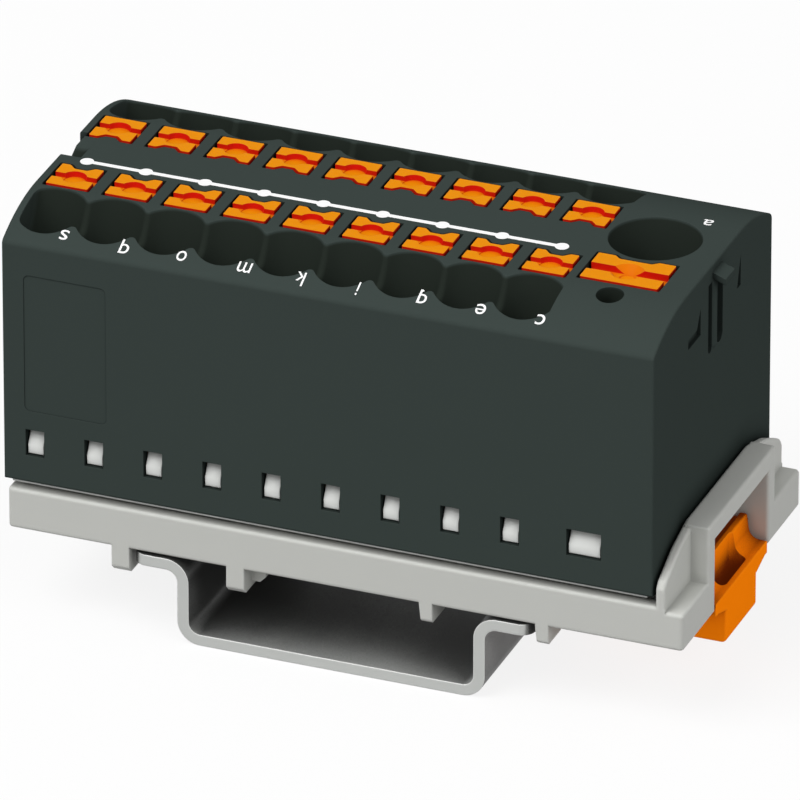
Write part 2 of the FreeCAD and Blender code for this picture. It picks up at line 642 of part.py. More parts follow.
def window(x, width):
    return box(x - width / 2, x + width / 2, FRONT - OVER, FRONT + WALL + SEAT_GAP,
               HOUSING_Z + WINDOW_BOTTOM, HOUSING_Z + WINDOW_TOP)


def left_reliefs():
    """Notch in the left end's upper edge and the ramped pit beside it."""
    notch = box(LEFT_END - OVER, LEFT_END + NOTCH_LENGTH, NOTCH_FRONT_Y, NOTCH_FRONT_Y + NOTCH_WIDTH,
                HOUSING_TOP - NOTCH_DEPTH, HOUSING_TOP + OVER)
    ramp = [(NOTCH_FRONT_Y, HOUSING_TOP - PIT_DEPTH), (NOTCH_FRONT_Y + PIT_WIDTH, HOUSING_TOP),
            (NOTCH_FRONT_Y, HOUSING_TOP)]
    start = LEFT_END + NOTCH_LENGTH
    return [notch, prism(ramp, "yz", start - END_EDGE_R, start + PIT_LENGTH)]


def upright_slot(near, far, depth):
    """Slot with a round lower end beside the ridge."""
    low, high = HOUSING_TOP - COUPLING_SLOT_LOW, HOUSING_TOP - COUPLING_SLOT_TOP
    slot_r = (far - near) / 2 - IN_PLANE
    return prism([(near, low, slot_r), (far, low, slot_r), (far, high), (near, high)],
                 "yz", RIGHT_END - depth, RIGHT_END + OVER)


def right_reliefs():
    """Wedge grooves either side of the coupling on the right end, and the slots beside its ridge."""
    deep, over = RIGHT_END - RELIEF_DEPTH, RIGHT_END + OVER
    low = HOUSING_TOP - WEDGE_BOTTOM
    far_y, bend_z = WEDGE_Y - WEDGE_REACH, low + WEDGE_WIDTH
    bent = prism([(WEDGE_Y, low), (WEDGE_Y, low + WEDGE_HEIGHT), (WEDGE_Y - WEDGE_WIDTH, bend_z),
                  (far_y, bend_z), (far_y, low)], "yz", deep, over)
    far_low = HOUSING_TOP - FAR_WEDGE_BOTTOM
    straight = prism([(FAR_WEDGE_Y[0], far_low), (FAR_WEDGE_Y[1], far_low),
                      (FAR_WEDGE_Y[1], far_low + FAR_WEDGE_HEIGHT)], "yz", deep, over)
    return [bent, straight, upright_slot(*COUPLING_SLOT_Y, COUPLING_SLOT_DEPTH),
            upright_slot(*COUPLING_GROOVE_Y, RELIEF_DEPTH)]


def coupling():
    """Half-round ridge with a round lower end, and the slanted hook above it."""
    axis_x = RIGHT_END + RIDGE_PROUD - RIDGE_R
    foot_z = HOUSING_TOP - RIDGE_BOTTOM + RIDGE_R
    ridge = fuse([post(axis_x, RIDGE_Y, RIDGE_R, foot_z, HOUSING_TOP - RIDGE_TOP),
                  Part.makeSphere(RIDGE_R, vector(axis_x, RIDGE_Y, foot_z))])
    ridge = ridge.common(box(RIGHT_END - END_WALL, RIGHT_END + RIDGE_R, FRONT, -FRONT, foot_z - RIDGE_R,
                             HOUSING_TOP))
    top, sheet, nose = HOUSING_TOP - COUPLING_HEAD_TOP, COUPLING_HEAD_SHEET, RIGHT_END + COUPLING_HEAD_PROUD
    inner, nose_top = RIGHT_END - END_WALL / 2, top - COUPLING_HEAD_SLANT
    head = prism([(inner, top - sheet), (RIGHT_END, top - sheet), (nose, nose_top - sheet), (nose, nose_top),
                  (RIGHT_END, top), (inner, top)], "xz", *COUPLING_HEAD_Y)
    return [ridge, head]


def front_panel():
    low, top = HOUSING_Z + PANEL_BOTTOM, HOUSING_TOP - PANEL_TOP
    left, right = LEFT_END + PANEL_LEFT, LEFT_END + PANEL_RIGHT
    corners = [(x, z, PANEL_CORNER_R) for x, z in ((left, low), (right, low), (right, top), (left, top))]
    return prism(corners, "xz", FRONT - OVER, FRONT + PANEL_DEPTH)


def housing():
    row = row_cuts()
    base_room = box(LEFT_END + END_WALL, RIGHT_END - END_WALL, FRONT + WALL, -FRONT - WALL,
                    HOUSING_Z - OVER, HOUSING_Z + BASE_ROOM)
    block = fuse([housing_block()] + coupling())
    cuts = row + [mirrored(cut) for cut in row] + infeed_cuts() + left_reliefs() + right_reliefs()
    return block.cut(cuts + [base_room, front_panel()])


# Contact carrier

def hook(x, width):
    """Springy arm with a snap nose that looks out of its window in the housing's front."""
    arm_front = FRONT + WALL + CARRIER_CLEARANCE
    arm_back = arm_front + HOOK_ARM
    top = HOUSING_Z + WINDOW_TOP - SEAT_GAP
    flat = HOUSING_Z + HOOK_FLAT_BOTTOM
    nose = FRONT + HOOK_SET_BACK
    points = [(arm_back, CARRIER_Z), (arm_back, top), (arm_front, top), (nose, HOUSING_Z + HOOK_RIDGE),
              (nose + SEAT_GAP, flat), (arm_front, flat), (arm_front, CARRIER_Z)]
    return prism(points, "yz", x - width / 2, x + width / 2)


def pin_places():
    """Busbar's locating pins stand midway between contacts, on the centre line."""
    return [CONTACT_XS[i] + PITCH / 2 for i in (CONTACTS // 4, CONTACTS - 1 - CONTACTS // 4 - 1)]


def contact_carrier():
    rim = box(LEFT_END + CARRIER_END_INSET, RIGHT_END - CARRIER_END_INSET, FRONT + CARRIER_INSET,
              -FRONT - CARRIER_INSET, CARRIER_Z, HOUSING_Z)
    end, side = END_WALL + CARRIER_CLEARANCE, WALL + CARRIER_CLEARANCE
    plate = box(LEFT_END + end, RIGHT_END - end, FRONT + side, -FRONT - side, CARRIER_Z,
                HOUSING_Z + CARRIER_PLATE)
    pieces = [rim, plate]
    for x in CONTACT_XS:
        pieces += both(hook(x, WINDOW_WIDTH - 2 * HOOK_GAP))
    pieces += both(hook(INFEED_X, INFEED_WINDOW_WIDTH - 2 * HOOK_GAP))
    for i in PEG_CONTACTS:
        pieces += both(post(CONTACT_XS[i], PEG_Y, PEG_R, DECK_Z - FOOT_CHAMFER, HOUSING_Z))
    for x in pin_places():
        pieces.append(post(x, 0, LOCATING_PIN_R, CARRIER_Z, BUSBAR_Z + BUSBAR_SHEET))
    return fuse(pieces)


# Busbar

def busbar():
    """One folded sheet: a strip along the block with a finger turned up at every clamp."""
    level = BUSBAR_Z + BUSBAR_SHEET / 2
    tab_top = HOUSING_Z + BUSBAR_TAB_HEIGHT
    half, core = FINGER_WIDTH / 2, -BUSBAR_CORE_Y
    wide = INFEED_FINGER_WIDTH / 2
    pieces = [box(FIRST_X - half, LAST_X + half, -core, core, BUSBAR_Z, BUSBAR_Z + BUSBAR_SHEET),
              box(LAST_X, INFEED_X, -core, core / 2, BUSBAR_Z, BUSBAR_Z + BUSBAR_SHEET)]
    for x in CONTACT_XS:
        finger = ribbon([(0, level), (TAB_Y, level), (TAB_Y, tab_top)], BUSBAR_BEND_R, BUSBAR_SHEET,
                        "yz", x - half, x + half)
        pieces += both(finger)
    pieces.append(ribbon([(-core, level), (INFEED_TAB_Y, level), (INFEED_TAB_Y, tab_top)], BUSBAR_BEND_R,
                         BUSBAR_SHEET, "yz", INFEED_X - wide, INFEED_X + wide))
    holes = [post(x, 0, LOCATING_PIN_R + SEAT_GAP, BUSBAR_Z - OVER,
                  BUSBAR_Z + BUSBAR_SHEET + OVER) for x in pin_places()]
    return fuse(pieces).cut(holes)


# Adapter foot

SLED_Z = SKIRT_Z + GUIDE_FLANGE + LATCH_CLEARANCE


def tooth(x0, x1, drop, chamfer, taper=0.0):
    """Short tooth behind the front skirt, bevelled along its lower front edge and slanted on its left."""
    low = SKIRT_Z - drop
    points = [(FRONT, low + chamfer), (FRONT + chamfer, low), (FRONT + TOOTH_DEPTH, low),
              (FRONT + TOOTH_DEPTH, DECK_Z), (FRONT, DECK_Z)]
    slant = [(x0, DECK_Z), (x0, SKIRT_Z), (x0 + taper, low), (x1, low), (x1, DECK_Z)]
    return prism(points, "yz", x0, x1).common(prism(slant, "xz", FRONT, FRONT + TOOTH_DEPTH))


def teeth():
    """Four pairs: outside the left flange, twice inside the channel, outside the right flange."""
    channel = RAIL_CHANNEL / 2
    left = -FLANGE_EDGE - TOOTH_TO_FLANGE
    inner = -channel + INNER_TOOTH_TO_WALL
    right_inner = channel - RIGHT_INNER_TOOTH_TO_WALL
    right = FLANGE_EDGE + RIGHT_TOOTH_TO_FLANGE
    row = [tooth(left - TOOTH_WIDTH, left, TOOTH_DROP, TOOTH_CHAMFER),
           tooth(inner, inner + TOOTH_WIDTH, TOOTH_DROP, TOOTH_CHAMFER),
           tooth(right_inner - RIGHT_TOOTH_WIDTH, right_inner, RIGHT_TOOTH_DROP, TOOTH_CHAMFER / 2,
                 RIGHT_TOOTH_TAPER),
           tooth(right, right + RIGHT_TOOTH_WIDTH, RIGHT_TOOTH_DROP, TOOTH_CHAMFER / 2, RIGHT_TOOTH_TAPER)]
    keel_low = SKIRT_Z - KEEL_DROP
    keel_right = inner + KEEL_WIDTH
    keel = prism([(inner, keel_low), (keel_right - TOOTH_CHAMFER, keel_low),
                  (keel_right, keel_low + TOOTH_CHAMFER), (keel_right, DECK_Z), (inner, DECK_Z)], "xz",
                 FRONT + ADAPTER_WALL + TOOTH_CHAMFER, -FRONT - ADAPTER_WALL - TOOTH_CHAMFER)
    claw_top = RAIL_HEIGHT - RAIL_SHEET - CLAW_CLEARANCE
    claw_low = claw_top - CLAW_HEIGHT
    claw = prism([(left - TOOTH_WIDTH, claw_low), (-FLANGE_EDGE + CLAW_REACH, claw_low),
                  (-FLANGE_EDGE + CLAW_REACH, claw_top), (left, claw_top), (left, DECK_Z),
                  (left - TOOTH_WIDTH, DECK_Z)], "xz", FRONT + CLAW_INSET, -FRONT - CLAW_INSET)
    return row + [mirrored(piece) for piece in row] + [keel, claw]


def wing():
    """End wall whose upper edge rises in a soft curve from the skirt to the portal, front and rear alike."""
    bend_r, slope_r, top_r = WING_CURVE_R
    rise = [(FRONT, LIP_Z + WING_FRONT_RISE), (FRONT + WING_BEND[0], LIP_Z + WING_BEND[1], bend_r),
            (FRONT + WING_SLOPE[0], LIP_Z + WING_SLOPE[1], slope_r),
            (FRONT + WING_SHOULDER, LIP_Z + WING_TOP, top_r)]
    fall = [(-p[0],) + tuple(p[1:]) for p in reversed(rise)]
    points = [(FRONT, SKIRT_Z)] + rise + fall + [(-FRONT, SKIRT_Z)]
    wall = prism(points, "yz", WING_X, LEDGE_X)
    return rounded(wall, ADAPTER_EDGE_R, lambda edge: not lies_at(edge, "Z", SKIRT_Z) and any(
        lies_at(edge, "X", side) for side in (WING_X, LEDGE_X)))


def tray():
    """Skirt all round with a deck inside, and ledges beyond the wing."""
    corners = [(x, y, ADAPTER_CORNER_R) for x, y in (
        (ADAPTER_LEFT, FRONT), (ADAPTER_RIGHT, FRONT), (ADAPTER_RIGHT, -FRONT), (ADAPTER_LEFT, -FRONT))]
    solid = prism(corners, "xy", SKIRT_Z, LIP_Z)
    solid = rounded(solid, ADAPTER_EDGE_R, lambda edge: lies_at(edge, "Z", LIP_Z))
    inner_left, inner_y = ADAPTER_LEFT + ADAPTER_WALL, FRONT + ADAPTER_WALL
    cuts = [box(LEDGE_X, ADAPTER_RIGHT + OVER, FRONT - OVER, OVER - FRONT, LIP_Z - LEDGE_BELOW_LIP,
                LIP_Z + OVER),
            box(inner_left, WING_X, inner_y, -inner_y, DECK_TOP, LIP_Z + OVER),
            box(inner_left, WING_X, inner_y, -inner_y, SKIRT_Z - OVER, DECK_Z)]
    return solid.cut(cuts)


def latch_guides():
    """Walls and inward flanges that carry the latch, and the peg its spring pushes against."""
    inner = LATCH_PLATE_WIDTH / 2 + LATCH_CLEARANCE
    walls = both(box(SLED_LEFT, WING_X, -OPENING_HALF - RIB, -OPENING_HALF, SKIRT_Z, DECK_Z))
    flanges = both(box(SLED_LEFT, OPENING_X, -OPENING_HALF - RIB, -inner, SKIRT_Z, SKIRT_Z + GUIDE_FLANGE))
    peg = box(SPRING_END + SEAT_GAP, SPRING_END + SEAT_GAP + SPRING_PEG, -SPRING_PEG, SPRING_PEG,
              SLED_Z, DECK_Z)
    return walls + flanges + [peg]


def flange_ribs():
    """Ribs that rest on the rail's flanges."""
    x = (FLANGE_EDGE + RAIL_CHANNEL / 2) / 2
    return [box(side * x - RIB / 2, side * x + RIB / 2, FRONT + ADAPTER_WALL, -FRONT - ADAPTER_WALL,
                RAIL_HEIGHT + RIB_CLEARANCE, DECK_Z) for side in (-1, 1)]


def end_shell():
    """Tray, wing and portal in one, with the opening for the latch, and its end face's edges rounded."""
    portal = box(WING_X + ADAPTER_EDGE_R, ADAPTER_RIGHT, -PORTAL_WIDTH / 2, PORTAL_WIDTH / 2, SKIRT_Z,
                 LIP_Z + WING_TOP)
    opening = box(OPENING_X, ADAPTER_RIGHT + OVER, -OPENING_HALF, OPENING_HALF, SKIRT_Z - OVER,
                  LIP_Z + WING_TOP - PORTAL_BEAM)
    shell = fuse([tray(), wing(), portal]).cut(opening)
    corner_y = -FRONT - ADAPTER_CORNER_R - IN_PLANE
    return rounded(shell, ADAPTER_EDGE_R, lambda edge: lies_at(edge, "X", ADAPTER_RIGHT)
                   and abs(edge.CenterOfMass.y) < corner_y)


def din_adapter():
    shell = end_shell()
    pieces = [shell] + teeth() + flange_ribs()
    pad = 2 * PEG_R
    for i in PEG_CONTACTS:
        x = CONTACT_XS[i]
        pieces += both(box(x - pad, x + pad, PEG_Y - pad, PEG_Y + pad, DECK_Z, CARRIER_Z - SEAT_GAP))
    holes = []
    for i in PEG_CONTACTS:
        holes += both(post(CONTACT_XS[i], PEG_Y, PEG_R + PEG_CLEARANCE, DECK_Z - OVER, CARRIER_Z + OVER))
    return fuse(pieces).cut(holes).fuse(latch_guides()).removeSplitter()


# Foot latch

def foot_latch():
    """Sled in the adapter's guides, nose under the rail's right flange, lip and pocket for a screwdriver."""
    plate, lip = LATCH_PLATE_WIDTH / 2, LATCH_LIP_WIDTH / 2
    low = SKIRT_Z - LATCH_DROP
    lip_low = SKIRT_Z - LATCH_LIP_BELOW_SKIRT
    lip_top = lip_low + LATCH_LIP_THICK
    top = SKIRT_Z + LATCH_TOP
    outer = ADAPTER_RIGHT
    face = WING_X - LATCH_CLEARANCE / 2 + LATCH_UPRIGHT
    jaw = prism([(face - LATCH_UPRIGHT, lip_low), (outer, lip_low), (outer, lip_top, LATCH_EDGE_R / 2),
                 (face + JAW_SET_OUT, lip_top, JAW_R), (face, top, LATCH_EDGE_R),
                 (face - LATCH_UPRIGHT, top, LATCH_EDGE_R)], "xz", -lip, lip)
    ramp_reach, ramp_drop = LIP_RAMP
    ramp = prism([(-plate - ramp_reach, lip_low), (-plate, lip_low - ramp_drop),
                  (plate, lip_low - ramp_drop), (plate + ramp_reach, lip_low)], "yz", face, outer)
    jaw = rounded(jaw, LATCH_EDGE_R / 2, lambda edge: lies_at(edge, "Y", -lip) or lies_at(edge, "Y", lip))
    sled_y = OPENING_HALF - LATCH_CLEARANCE
    sled = box(SLED_LEFT, face, -sled_y, sled_y, SLED_Z, DECK_Z - LATCH_CLEARANCE)
    web = prism([(SLED_LEFT, low), (outer, low, LATCH_CORNER_R), (outer, lip_low + SEAT_GAP),
                 (face, lip_low + SEAT_GAP), (face, SLED_Z + SEAT_GAP), (SLED_LEFT, SLED_Z + SEAT_GAP)],
                "xz", -plate, plate)
    web = rounded(web, LATCH_EDGE_R, lambda edge: edge.CenterOfMass.x > outer - LATCH_CORNER_R and any(
        lies_at(edge, "Y", side) for side in (-plate, plate)))
    nose_top = RAIL_HEIGHT - RAIL_SHEET - LATCH_NOSE_CLEARANCE
    tip = FLANGE_EDGE - LATCH_HOLD
    root = SLED_LEFT + LATCH_HOLD
    nose = prism([(tip, nose_top), (tip, nose_top - TOOTH_CHAMFER), (SLED_LEFT, low), (root, low),
                  (root, nose_top)], "xz", -plate, plate)
    spring_window = box(SPRING_START, SPRING_END + SPRING_PEG + 2 * LATCH_CLEARANCE, -SPRING_WINDOW / 2,
                        SPRING_WINDOW / 2, SLED_Z - SEAT_GAP, DECK_Z)
    pocket_end, pocket_y = outer - LATCH_CORNER_R, POCKET_WIDTH / 2
    pocket_start = pocket_end - POCKET_LENGTH
    pocket = prism([(x, y, POCKET_CORNER_R) for x, y in (
        (pocket_start, -pocket_y), (pocket_end, -pocket_y), (pocket_end, pocket_y),
        (pocket_start, pocket_y))], "xy", lip_top - POCKET_DEPTH, top + OVER)
    return fuse([jaw, ramp, sled, web, nose]).cut([spring_window, pocket])


def latch_spring():
    """Strip folded to and fro between the sled and the adapter's peg."""
    pitch = (LATCH_SPRING_LENGTH - SEAT_GAP - LATCH_SPRING_SHEET) / (2 * LATCH_SPRING_TURNS)
    reach = SPRING_WINDOW / 2 - LATCH_CLEARANCE - LATCH_SPRING_SHEET / 2
    start = SPRING_START + SEAT_GAP + LATCH_SPRING_SHEET / 2
    path = []
    for i in range(SPRING_FOLDS):
        side = 1 if i % 2 else -1
        path += [(start + i * pitch, -side * reach), (start + i * pitch, side * reach)]
    return ribbon(path, LATCH_SPRING_BEND_R, LATCH_SPRING_SHEET, "xy", SLED_Z, DECK_Z - 2 * LATCH_CLEARANCE)


# Every node, by name

def release_buttons():
    nodes = {}
    for i, x in enumerate(CONTACT_XS):
        small = button(x, BUTTON_Y, BUTTON_WIDTH, BUTTON_DEPTH, SMALL_WAIST, (GROOVE_WIDTH, GROOVE_DEPTH),
                       (DIMPLE_R, DIMPLE_FLOOR_R, DIMPLE_DEPTH), (FOOT_WIDTH, -FOOT_SHIFT), small_leg_height)
        nodes[f"button_front_{i + 1}"] = small
        nodes[f"button_rear_{i + 1}"] = mirrored(small)
    return nodes


def all_nodes():
    nodes = {"housing": housing(), "contact_carrier": contact_carrier(), "busbar": busbar(),
             "din_adapter": din_adapter(), "foot_latch": foot_latch(), "latch_spring": latch_spring(),
             "mounting_rail": mounting_rail(), "clamp_spring_infeed": infeed_spring()}
    nodes.update(release_buttons())
    nodes["button_infeed"] = button(
        INFEED_X, INFEED_BUTTON_Y, INFEED_BUTTON_WIDTH, INFEED_BUTTON_DEPTH, LARGE_WAIST,
        (INFEED_GROOVE_WIDTH, INFEED_GROOVE_DEPTH),
        (INFEED_DIMPLE_R, INFEED_DIMPLE_FLOOR_R, INFEED_DIMPLE_DEPTH),
        (INFEED_FOOT_WIDTH, INFEED_FOOT_SHIFT), infeed_leg_height)
    for i, x in enumerate(CONTACT_XS):
        spring = small_spring(x)
        nodes[f"clamp_spring_front_{i + 1}"] = spring
        nodes[f"clamp_spring_rear_{i + 1}"] = mirrored(spring)
    return nodes


os.makedirs("parts", exist_ok=True)
for name, shape in all_nodes().items():
    shape.exportStep(f"parts/{name}.step")
    state = "valid" if shape.isValid() else "BROKEN"
    print(name, len(shape.Solids), "solids", round(shape.Volume, 1), "mm3", state)
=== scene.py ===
# %% [markdown]
# # A power distribution block on its rail
# The block takes one supply wire at its right end and shares it out to two rows of clamps. Each clamp has
# a funnel for the wire and an orange button that opens it. A light grey foot with an orange latch clips the
# block onto a steel rail. This lesson dresses the finished construction: it smooths the moulded shells,
# prints the marks on the top, and gives every surface its own finish.

# %% [markdown]
# ## The construction as a fixed frame
# Every piece already has its true size and place. We load it once and work in millimetres from then on,
# because a button a few thousandths of a metre across is awkward to model in metres.

# %% Load the frame
import bpy
import json
import math
from mathutils import Matrix, Vector


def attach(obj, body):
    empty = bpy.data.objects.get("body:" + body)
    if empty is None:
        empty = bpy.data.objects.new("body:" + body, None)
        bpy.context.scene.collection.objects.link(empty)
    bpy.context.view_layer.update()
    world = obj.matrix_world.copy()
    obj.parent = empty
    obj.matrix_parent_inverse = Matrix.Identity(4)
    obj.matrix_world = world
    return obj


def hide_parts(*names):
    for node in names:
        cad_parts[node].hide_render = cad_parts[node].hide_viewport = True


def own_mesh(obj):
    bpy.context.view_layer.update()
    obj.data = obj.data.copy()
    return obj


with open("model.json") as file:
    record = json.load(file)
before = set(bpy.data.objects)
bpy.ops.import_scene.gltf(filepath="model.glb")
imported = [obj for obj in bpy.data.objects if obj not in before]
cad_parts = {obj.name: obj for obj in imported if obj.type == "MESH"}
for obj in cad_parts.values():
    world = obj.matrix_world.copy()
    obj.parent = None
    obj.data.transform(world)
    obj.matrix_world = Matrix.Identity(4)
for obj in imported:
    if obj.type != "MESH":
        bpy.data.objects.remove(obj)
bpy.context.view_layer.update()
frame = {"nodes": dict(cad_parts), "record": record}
MM = 0.001
scene = bpy.context.scene

# %% [markdown]
# ## The camera
# The photograph was taken from far away with a long lens: its parallel edges hardly converge. A camera a
# metre and a half off with a 770 mm lens gives the same view. It looks down by 28 degrees from the right.

# %% Camera
CAMERA_PLACE = Vector((0.453546, -1.154077, 0.669740))
CAMERA_LOOKS_ALONG = Vector((-0.32335, 0.82409, -0.46511))
SENSOR = 36.0
PHOTO_LENS = 769.73

camera_data = bpy.data.cameras.new("photo_camera")
camera_data.sensor_width = SENSOR
camera_data.lens = PHOTO_LENS
camera_data.clip_start = 0.2
camera_data.clip_end = 10.0
camera = bpy.data.objects.new("photo_camera", camera_data)
camera.location = CAMERA_PLACE
camera.rotation_euler = CAMERA_LOOKS_ALONG.to_track_quat("-Z", "Y").to_euler()
scene.collection.objects.link(camera)
scene.camera = camera
print("camera distance in mm", round(CAMERA_PLACE.length / MM))

# %% [markdown]
# ## Floor, sky and lamps
# The object stands before pure white. A white floor lit strongly enough to look white would throw light up
# into the rail, so the floor is a middling grey that glows white only for the camera and for reflections,
# and keeps a faint shadow. A dim even sky and three large soft lamps light the object: the top a quarter
# brighter than the front, the right end a fifth darker.

# %% Stage
scene.view_settings.view_transform = "Standard"

WHITE = (1.0, 1.0, 1.0, 1.0)
FLOOR_SIZE = 6.0
FLOOR_GREY = (0.35, 0.35, 0.35, 1.0)
FLOOR_ROUGHNESS = 0.9
FLOOR_GLOW = 0.86
SKY_STRENGTH = 0.25
LAMP_DISTANCE = 1.6
LAMPS = {
    "lamp_above_left": (-35, 55, 1.0, 18.0),
    "lamp_front": (-10, 20, 1.4, 2.3),
    "lamp_right": (70, 30, 1.2, 8.6)}


def deselect_all():
    for other in bpy.context.selected_objects:
        other.select_set(False)


def link(tree, source, target):
    tree.links.new(source, target)


def node_tree(name):
    """A new material and its node tree, with the Principled shader found."""
    material = bpy.data.materials.new(name)
    material.use_nodes = True
    tree = material.node_tree
    return material, tree, tree.nodes["Principled BSDF"]


def math_node(tree, operation, first, second, clamp=False):
    """A math node whose two inputs are sockets or plain numbers."""
    node = tree.nodes.new("ShaderNodeMath")
    node.operation = operation
    node.use_clamp = clamp
    for socket, value in zip(node.inputs, (first, second)):
        if isinstance(value, (int, float)):
            socket.default_value = value
        else:
            link(tree, value, socket)
    return node.outputs[0]


def seen_directly(tree):
    """1 for the camera and for mirrored or refracted rays, 0 for light that falls on the object."""
    path = tree.nodes.new("ShaderNodeLightPath")
    seen = math_node(tree, "MAXIMUM", path.outputs["Is Camera Ray"], path.outputs["Is Glossy Ray"])
    return math_node(tree, "MAXIMUM", seen, path.outputs["Is Transmission Ray"])


deselect_all()
bpy.ops.mesh.primitive_plane_add(size=FLOOR_SIZE)
floor = bpy.context.object
floor.name = "studio_floor"
floor_material, floor_tree, floor_shader = node_tree("studio_floor")
tone = floor_tree.nodes.new("ShaderNodeMix")
tone.data_type = "RGBA"
tone.inputs["A"].default_value = FLOOR_GREY
tone.inputs["B"].default_value = WHITE
floor_seen = seen_directly(floor_tree)
link(floor_tree, floor_seen, tone.inputs["Factor"])
link(floor_tree, tone.outputs["Result"], floor_shader.inputs["Base Color"])
floor_shader.inputs["Roughness"].default_value = FLOOR_ROUGHNESS
floor_shader.inputs["Specular IOR Level"].default_value = 0.0
glow = floor_tree.nodes.new("ShaderNodeEmission")
glow.inputs["Strength"].default_value = 1.0
glow_share = floor_tree.nodes.new("ShaderNodeMixShader")
link(floor_tree, math_node(floor_tree, "MULTIPLY", floor_seen, FLOOR_GLOW), glow_share.inputs["Fac"])
link(floor_tree, floor_shader.outputs["BSDF"], glow_share.inputs[1])
link(floor_tree, glow.outputs["Emission"], glow_share.inputs[2])
link(floor_tree, glow_share.outputs["Shader"], floor_tree.nodes["Material Output"].inputs["Surface"])
floor.data.materials.append(floor_material)

world = bpy.data.worlds.new("studio_sky")
world.use_nodes = True
scene.world = world
sky = world.node_tree
strength = sky.nodes.new("ShaderNodeMapRange")
strength.inputs["To Min"].default_value = SKY_STRENGTH
strength.inputs["To Max"].default_value = 1.0
link(sky, seen_directly(sky), strength.inputs["Value"])
link(sky, strength.outputs["Result"], sky.nodes["Background"].inputs["Strength"])
sky.nodes["Background"].inputs["Color"].default_value = WHITE


def soft_lamp(name, azimuth, elevation, width, power):
    """A square lamp that looks at the object from an azimuth (0 is the front) and an elevation."""
    around, up = math.radians(azimuth), math.radians(elevation)
    towards = Vector((math.sin(around) * math.cos(up), -math.cos(around) * math.cos(up), math.sin(up)))
    data = bpy.data.lights.new(name, "AREA")
    data.shape = "SQUARE"
    data.size = width
    data.energy = power
    lamp = bpy.data.objects.new(name, data)
    lamp.location = towards * LAMP_DISTANCE
    lamp.rotation_euler = (-towards).to_track_quat("-Z", "Y").to_euler()
    scene.collection.objects.link(lamp)


for name, settings in LAMPS.items():
    soft_lamp(name, *settings)

# %% [markdown]
# ## Effects that several finishes share
# A moulded plastic skin is never one flat colour: it has a faint mottle and a fine spark-eroded grain. One
# node group makes both, and each plastic sets its own amounts. A second group rounds every edge in the
# light and also finds it, so that a painted highlight can lighten it. A third tells which way a face looks,
# so that upright faces can take a painted shade colour. A fourth finds recesses, which are painted darker as
# shade. A fifth knows where the housing's funnels and wells are: below its arched top and inside its walls,
# where they are painted darker as shade.

# %% Shared node groups


def new_group(name, inputs, outputs):
    """An empty node group with named sockets, and its input and output nodes."""
    tree = bpy.data.node_groups.new(name, "ShaderNodeTree")
    for socket, kind, value in inputs:
        made = tree.interface.new_socket(socket, in_out="INPUT", socket_type=kind)
        made.default_value = value
    for socket, kind in outputs:
        tree.interface.new_socket(socket, in_out="OUTPUT", socket_type=kind)
    return tree, tree.nodes.new("NodeGroupInput"), tree.nodes.new("NodeGroupOutput")


FLOAT, COLOUR, DIRECTION = "NodeSocketFloat", "NodeSocketColor", "NodeSocketVector"
TOP_Z = 36.1
TOP_EDGE_Y = 6.2
SHOULDER_R = 15.0
HOUSING_MIDDLE_X = -0.38
HOUSING_HALF_LENGTH = 28.38
HOUSING_HALF_DEPTH = 13.7
BELOW_TOP = (0.05, 0.25)
INSIDE_WALL = (0.5, 0.9)


def ramp_node(tree, value, low, high):
    """0 where the value is low, 1 where it is high, and even in between; all three may be sockets."""
    ramp = tree.nodes.new("ShaderNodeMapRange")
    for name, given in (("Value", value), ("From Min", low), ("From Max", high)):
        if isinstance(given, float):
            ramp.inputs[name].default_value = given
        else:
            link(tree, given, ramp.inputs[name])
    return ramp.outputs["Result"]


def make_skin_group():
    """Colour with a faint mottle, a fine grain as height, and a roughness that varies with it."""
    tree, taken, given = new_group(
        "moulded_skin",
        [("Colour", COLOUR, (0.5, 0.5, 0.5, 1)), ("Mottle", FLOAT, 0.04), ("Mottle scale", FLOAT, 160.0),
         ("Grain scale", FLOAT, 9000.0), ("Roughness", FLOAT, 0.5), ("Roughness spread", FLOAT, 0.08)],
        [("Colour", COLOUR), ("Height", FLOAT), ("Roughness", FLOAT)])
    place = tree.nodes.new("ShaderNodeTexCoord")
    mottle = tree.nodes.new("ShaderNodeTexNoise")
    mottle.inputs["Detail"].default_value = 3.0
    grain = tree.nodes.new("ShaderNodeTexNoise")
    grain.inputs["Detail"].default_value = 2.0
    for noise, scale in ((mottle, "Mottle scale"), (grain, "Grain scale")):
        link(tree, place.outputs["Object"], noise.inputs["Vector"])
        link(tree, taken.outputs[scale], noise.inputs["Scale"])
    centred = math_node(tree, "SUBTRACT", mottle.outputs["Fac"], 0.5)
    gain = math_node(tree, "ADD", math_node(tree, "MULTIPLY", centred, taken.outputs["Mottle"]), 1.0)
    tinted = tree.nodes.new("ShaderNodeVectorMath")
    tinted.operation = "SCALE"
    link(tree, taken.outputs["Colour"], tinted.inputs[0])
    link(tree, gain, tinted.inputs["Scale"])
    link(tree, tinted.outputs[0], given.inputs["Colour"])
    link(tree, grain.outputs["Fac"], given.inputs["Height"])
    spread = math_node(tree, "MULTIPLY", centred, taken.outputs["Roughness spread"])
    link(tree, math_node(tree, "ADD", taken.outputs["Roughness"], spread), given.inputs["Roughness"])
    return tree


